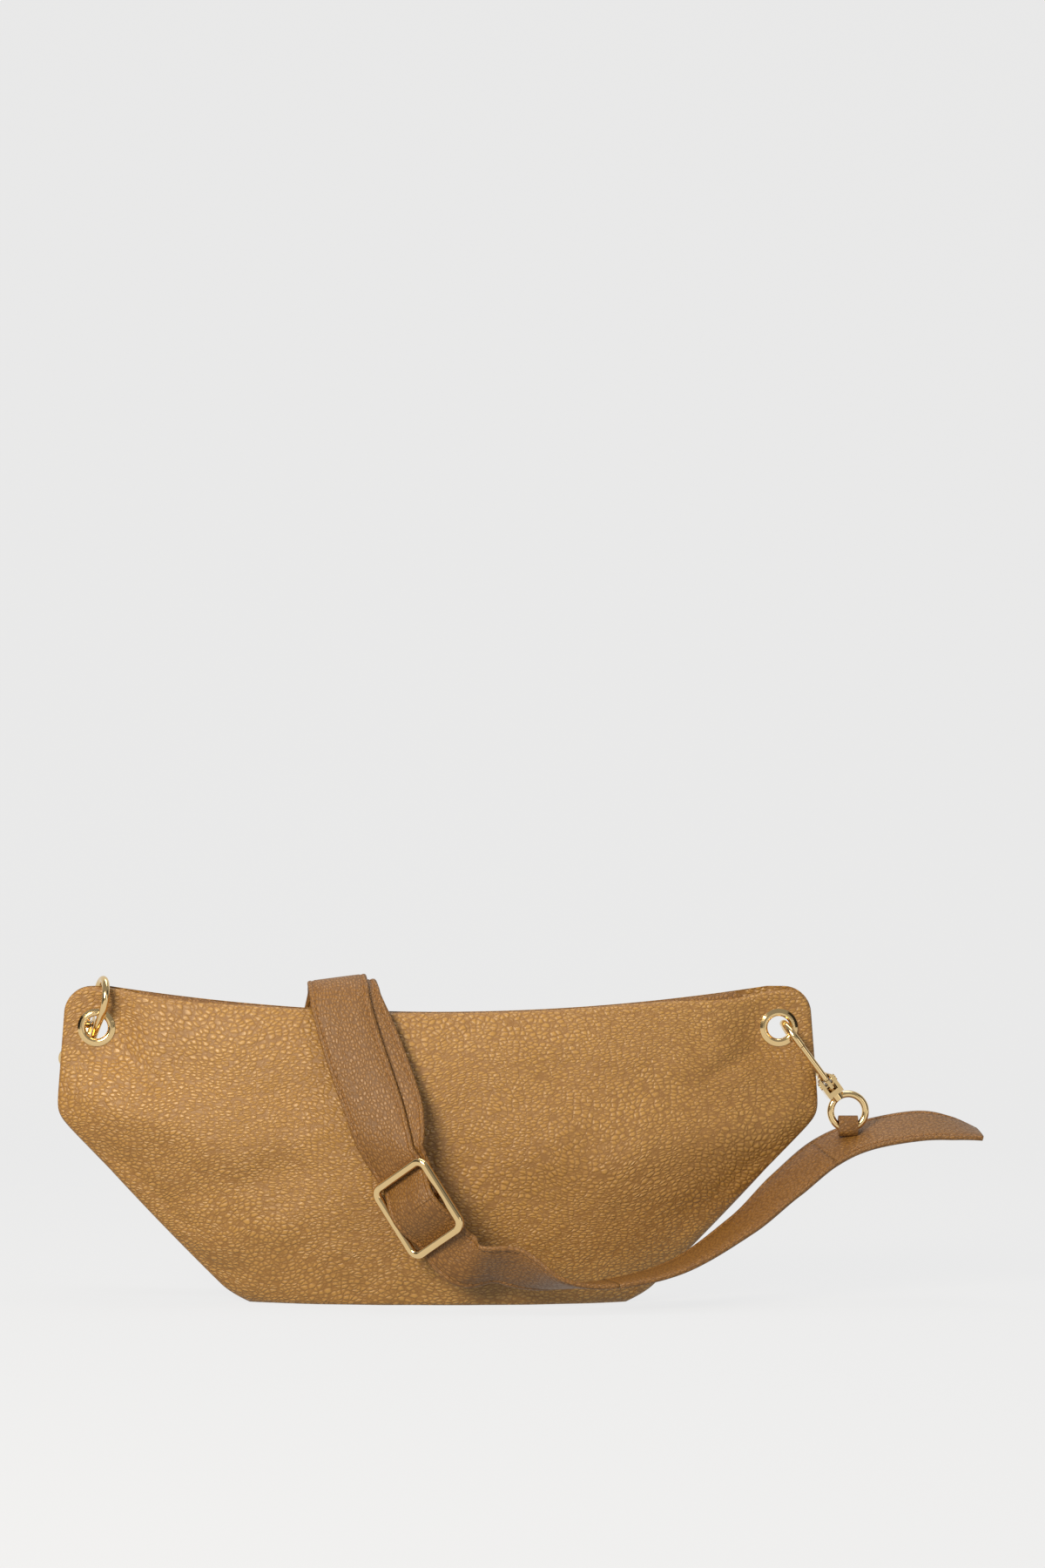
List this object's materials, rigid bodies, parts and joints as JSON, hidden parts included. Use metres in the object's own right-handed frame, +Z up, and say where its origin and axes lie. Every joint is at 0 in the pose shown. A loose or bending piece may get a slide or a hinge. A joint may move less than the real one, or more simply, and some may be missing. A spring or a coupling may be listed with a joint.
{
  "type": "sling bag",
  "caption": "Soft leather sling bag with a top zip, an eyelet in each top corner, swivel snap hooks and an adjustable stitched strap.",
  "frame": {"origin": "centre of the base's underside", "axes": "+Z up, +X towards the right hook, -Y towards the front"},
  "size_m": [0.4383, 0.12, 0.1554],
  "materials": {
    "bag_leather": "pebbled tan leather, soft sheen",
    "strap_leather": "pebbled tan leather, stitched",
    "lining_cloth": "woven cotton lining",
    "stiffener": "matt board",
    "zip_tape": "woven tape",
    "zip_metal": "polished gold-tone",
    "gold_hardware": "polished gold-tone",
    "spring_steel": "bright spring wire"
  },
  "bodies": {
    "bag": {"front_panel": "bag_leather", "back_panel": "bag_leather", "base_panel": "bag_leather", "base_board": "stiffener", "front_lining": "lining_cloth", "back_lining": "lining_cloth", "front_facing": "strap_leather", "back_facing": "strap_leather", "front_zip_tape": "zip_tape", "back_zip_tape": "zip_tape", "front_zip_teeth": "zip_metal", "back_zip_teeth": "zip_metal", "zip_end_stops": "zip_metal", "left_eyelet": "gold_hardware", "left_eyelet_washer": "gold_hardware", "right_eyelet": "gold_hardware", "right_eyelet_washer": "gold_hardware", "strap_outer_run": "strap_leather", "strap_inner_run": "strap_leather", "strap_free_run": "strap_leather"},
    "zip_slider": {"zip_slider": "zip_metal"},
    "zip_pull": {"zip_pull": "zip_metal"},
    "left_hook": {"left_hook": "gold_hardware", "left_gate_pin": "gold_hardware", "left_gate_spring": "spring_steel", "left_tab": "strap_leather", "strap_loop": "gold_hardware", "strap_loop_turn": "strap_leather"},
    "left_gate": {"left_gate": "gold_hardware"},
    "left_swivel": {"left_swivel_eye": "gold_hardware"},
    "right_hook": {"right_hook": "gold_hardware", "right_gate_pin": "gold_hardware", "right_gate_spring": "spring_steel", "right_tab": "strap_leather", "strap_tail": "strap_leather"},
    "right_gate": {"right_gate": "gold_hardware"},
    "right_swivel": {"right_swivel_eye": "gold_hardware"},
    "strap_slider": {"strap_slider": "gold_hardware", "strap_end_loop": "strap_leather"}
  },
  "joints": [
    {"name": "zip_slider_travel", "type": "hinge", "parent": "bag", "child": "zip_slider", "pos_m": [0, 0, 1.10425], "axis": [0, 1, 0], "range_deg": [0, 13.57]},
    {"name": "zip_pull_flip", "type": "hinge", "parent": "zip_slider", "child": "zip_pull", "pos_m": [0.11458, 0, 0.14134], "axis": [0, 1, 0], "range_deg": [0, 150]},
    {"name": "left_hook_swing", "type": "hinge", "parent": "bag", "child": "left_hook", "pos_m": [-0.1607, 0, 0.13], "axis": [0, 1, 0], "range_deg": [-6, 6], "deforming": ["strap_outer_run", "strap_inner_run"]},
    {"name": "left_gate_swing", "type": "hinge", "parent": "left_hook", "child": "left_gate", "pos_m": [-0.16717, 0.02018, 0.13111], "axis": [0.9418, 0.309, -0.1324], "range_deg": [0, 14], "stiffness_Nm_per_rad": 0.02, "springref_deg": -17.19, "deforming": ["left_gate_spring"]},
    {"name": "left_swivel_turn", "type": "hinge", "parent": "left_hook", "child": "left_swivel", "pos_m": [-0.16863, 0.02056, 0.12159], "axis": [-0.3127, 0.6607, -0.6825], "range_deg": [-20, 20], "deforming": ["left_tab"]},
    {"name": "right_hook_swing", "type": "hinge", "parent": "bag", "child": "right_hook", "pos_m": [0.1607, 0, 0.13], "axis": [0, -1, 0], "range_deg": [0, 30], "deforming": ["strap_free_run"]},
    {"name": "right_gate_swing", "type": "hinge", "parent": "right_hook", "child": "right_gate", "pos_m": [0.18334, -0.0064, 0.10445], "axis": [-0.8039, 0, -0.5948], "range_deg": [0, 14], "stiffness_Nm_per_rad": 0.02, "springref_deg": -17.19, "deforming": ["right_gate_spring"]},
    {"name": "right_swivel_turn", "type": "hinge", "parent": "right_hook", "child": "right_swivel", "pos_m": [0.18762, 0, 0.09867], "axis": [0.5948, 0, -0.8039], "range_deg": [-20, 20], "deforming": ["right_tab"]},
    {"name": "strap_slider_travel", "type": "slide", "parent": "bag", "child": "strap_slider", "axis": [-0.5322, 0.1312, 0.8364], "range_m": [0, 0.025], "deforming": ["strap_outer_run", "strap_inner_run", "strap_free_run"]}
  ]
}
